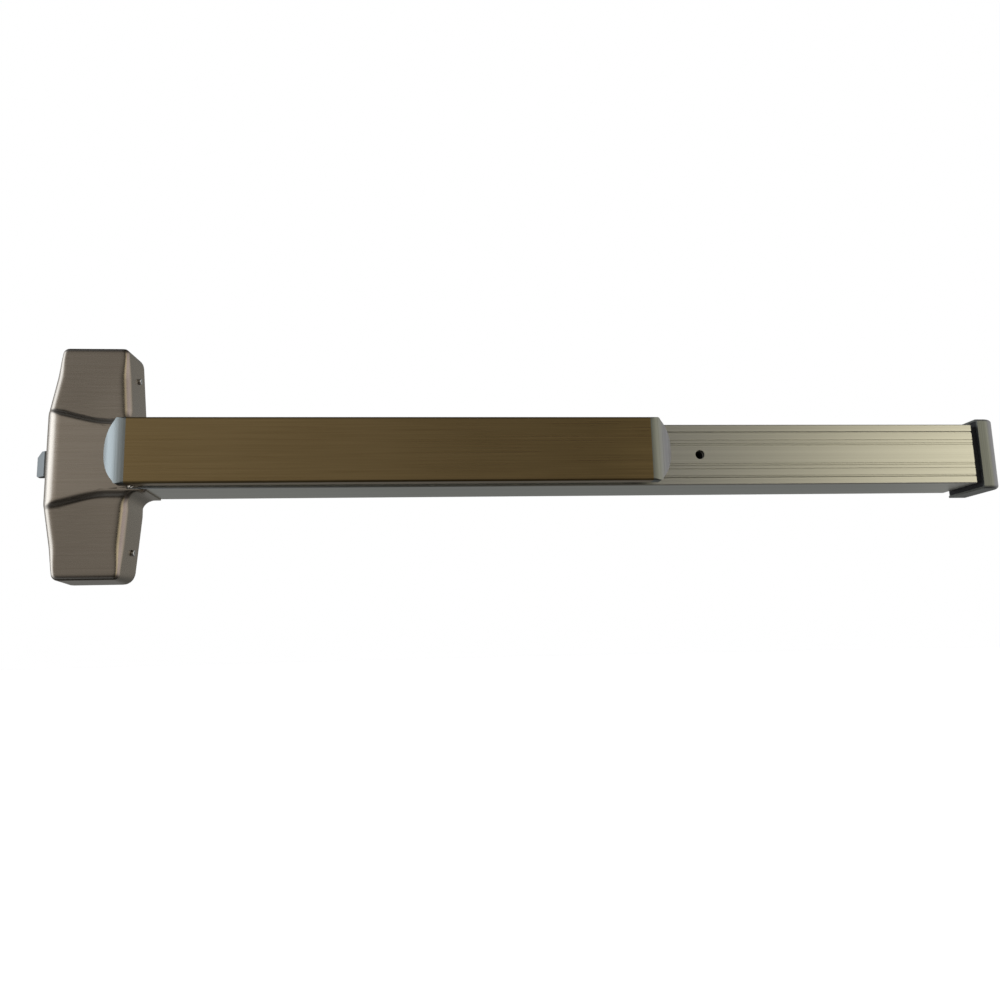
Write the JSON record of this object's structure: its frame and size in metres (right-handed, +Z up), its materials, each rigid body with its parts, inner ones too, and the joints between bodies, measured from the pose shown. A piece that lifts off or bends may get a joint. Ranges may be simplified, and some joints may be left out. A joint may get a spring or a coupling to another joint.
{
  "type": "panic exit bar",
  "caption": "Push-pad rim exit device: a long rail with a sprung push pad that draws back the latch in a faceted head cover at one end, with a rounded cap at the other",
  "frame": {"origin": "on the door's face, at the middle of the four chassis bolts, which is the middle of the latch head", "axes": "+X along the bar from the latch head to the end cap, +Y into the door, +Z up"},
  "size_m": [0.8859, 0.0789, 0.2114],
  "materials": {
    "head_steel": "satin brushed stainless sheet",
    "pad_bronze": "lengthways brushed bronze-brown sheet",
    "rail_aluminium": "satin anodised extrusion",
    "satin_alloy": "bright satin casting",
    "cast_alloy": "fine as-cast grey",
    "latch_steel": "ground steel",
    "spring_steel": "drawn spring wire",
    "nylon": "natural nylon",
    "black_moulding": "matt black moulded plastic",
    "screw_steel": "bright zinc plate",
    "zinc_plated_steel": "zinc plated pressed steel"
  },
  "bodies": {
    "root": {"chassis_plate": "zinc_plated_steel", "crank_bracket_rivets": "screw_steel", "dogging_bracket": "zinc_plated_steel", "end_bracket": "zinc_plated_steel", "end_bracket_screws": "screw_steel", "end_cap": "satin_alloy", "end_cap_screws": "screw_steel", "filler_plate": "rail_aluminium", "head_cover": "head_steel", "head_cover_screws": "screw_steel", "latch_case": "cast_alloy", "latch_case_screws": "screw_steel", "latch_spring": "spring_steel", "left_crank_bracket": "zinc_plated_steel", "left_crank_pivot_pin": "screw_steel", "rail_bracket": "zinc_plated_steel", "rail_bracket_screws": "screw_steel", "rail_channel": "rail_aluminium", "rail_end_seal": "black_moulding", "right_crank_bracket": "zinc_plated_steel", "right_crank_pivot_pin": "screw_steel", "rod_guide_rivets": "screw_steel", "rod_guides": "nylon", "rod_return_spring": "spring_steel"},
    "push_pad": {"pad_cover": "pad_bronze", "pad_carrier": "rail_aluminium", "left_pad_end_cap": "satin_alloy", "right_pad_end_cap": "satin_alloy", "pad_end_screws": "screw_steel", "left_pad_lug": "zinc_plated_steel", "right_pad_lug": "zinc_plated_steel", "pad_lug_rivets": "screw_steel"},
    "left_crank": {"left_bell_crank": "zinc_plated_steel", "left_crank_pad_pin": "screw_steel", "left_crank_rod_pin": "screw_steel"},
    "right_crank": {"right_bell_crank": "zinc_plated_steel", "right_crank_pad_pin": "screw_steel", "right_crank_rod_pin": "screw_steel"},
    "rod": {"actuating_rod": "zinc_plated_steel", "rod_yoke": "zinc_plated_steel", "rod_yoke_rivets": "screw_steel", "spring_collar": "zinc_plated_steel", "spring_collar_pin": "screw_steel"},
    "latch": {"latch_bolt": "latch_steel", "latch_pin": "latch_steel"},
    "dogging": {"dogging_shaft": "zinc_plated_steel", "dogging_hook": "zinc_plated_steel", "dogging_retaining_ring": "zinc_plated_steel"}
  },
  "joints": [
    {"name": "pad_push", "type": "slide", "parent": "root", "child": "push_pad", "axis": [0, 1, 0], "range_m": [0, 0.015], "stiffness_N_per_m": 2000, "springref_m": -0.008},
    {"name": "left_crank_turn", "type": "hinge", "parent": "root", "child": "left_crank", "pos_m": [0.118, -0.03785, 0], "axis": [0, 0, -1], "range_deg": [0, 40]},
    {"name": "right_crank_turn", "type": "hinge", "parent": "root", "child": "right_crank", "pos_m": [0.428, -0.03785, 0], "axis": [0, 0, -1], "range_deg": [0, 40]},
    {"name": "rod_pull", "type": "slide", "parent": "root", "child": "rod", "axis": [1, 0, 0], "range_m": [0, 0.017], "deforming": ["rod_return_spring"]},
    {"name": "latch_retract", "type": "slide", "parent": "root", "child": "latch", "axis": [1, 0, 0], "range_m": [0, 0.017], "deforming": ["latch_spring"]},
    {"name": "dogging_turn", "type": "hinge", "parent": "root", "child": "dogging", "pos_m": [0.5422, -0.035, 0], "axis": [0, 1, 0], "range_deg": [0, 90]}
  ],
  "couplings": [
    {"joint": "left_crank_turn", "follows": "pad_push", "rad_per_m": 46.542},
    {"joint": "right_crank_turn", "follows": "pad_push", "rad_per_m": 46.542},
    {"joint": "rod_pull", "follows": "pad_push", "ratio": 1.1333},
    {"joint": "latch_retract", "follows": "pad_push", "ratio": 1.1333}
  ]
}
